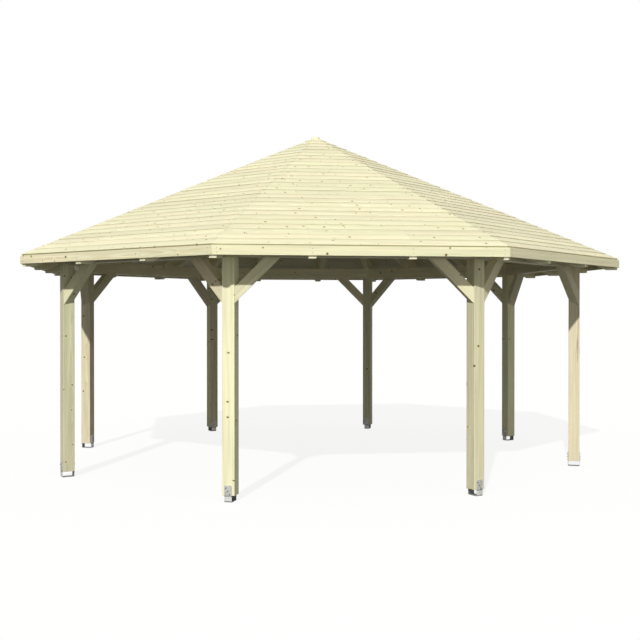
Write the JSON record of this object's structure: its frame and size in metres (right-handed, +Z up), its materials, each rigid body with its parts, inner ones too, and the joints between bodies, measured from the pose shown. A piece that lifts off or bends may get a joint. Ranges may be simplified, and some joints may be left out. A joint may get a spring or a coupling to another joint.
{
  "type": "octagonal garden gazebo",
  "caption": "Open octagonal garden gazebo: square timber posts on steel anchors, ring beams with head braces, and a boarded hipped roof.",
  "frame": {"origin": "on the ground in the middle of the octagon", "axes": "+Z up; the front side of the octagon faces -Y, and +X is to its right"},
  "size_m": [6.44, 6.44, 3.8102],
  "materials": {
    "post_timber": "planed softwood, untreated, with knots and fine drying cracks",
    "beam_timber": "planed softwood, untreated",
    "brace_timber": "planed softwood, untreated",
    "rafter_timber": "planed softwood, untreated",
    "fascia_boards": "planed softwood, untreated, with small knots",
    "roof_boards": "planed softwood boards in rows, with small knots",
    "galvanised_anchor": "hot-dip galvanised, dull, faintly spangled"
  },
  "bodies": {
    "root": {"post_1": "post_timber", "post_2": "post_timber", "post_3": "post_timber", "post_4": "post_timber", "post_5": "post_timber", "post_6": "post_timber", "post_7": "post_timber", "post_8": "post_timber", "post_anchor_1": "galvanised_anchor", "post_anchor_2": "galvanised_anchor", "post_anchor_3": "galvanised_anchor", "post_anchor_4": "galvanised_anchor", "post_anchor_5": "galvanised_anchor", "post_anchor_6": "galvanised_anchor", "post_anchor_7": "galvanised_anchor", "post_anchor_8": "galvanised_anchor", "ring_beam_1": "beam_timber", "ring_beam_2": "beam_timber", "ring_beam_3": "beam_timber", "ring_beam_4": "beam_timber", "ring_beam_5": "beam_timber", "ring_beam_6": "beam_timber", "ring_beam_7": "beam_timber", "ring_beam_8": "beam_timber", "brace_pair_1": "brace_timber", "brace_pair_2": "brace_timber", "brace_pair_3": "brace_timber", "brace_pair_4": "brace_timber", "brace_pair_5": "brace_timber", "brace_pair_6": "brace_timber", "brace_pair_7": "brace_timber", "brace_pair_8": "brace_timber", "hip_rafters": "rafter_timber", "jack_rafters": "rafter_timber", "king_block": "rafter_timber", "fascia": "fascia_boards", "roof_side_1": "roof_boards", "roof_side_2": "roof_boards", "roof_side_3": "roof_boards", "roof_side_4": "roof_boards", "roof_side_5": "roof_boards", "roof_side_6": "roof_boards", "roof_side_7": "roof_boards", "roof_side_8": "roof_boards"}
  },
  "joints": []
}
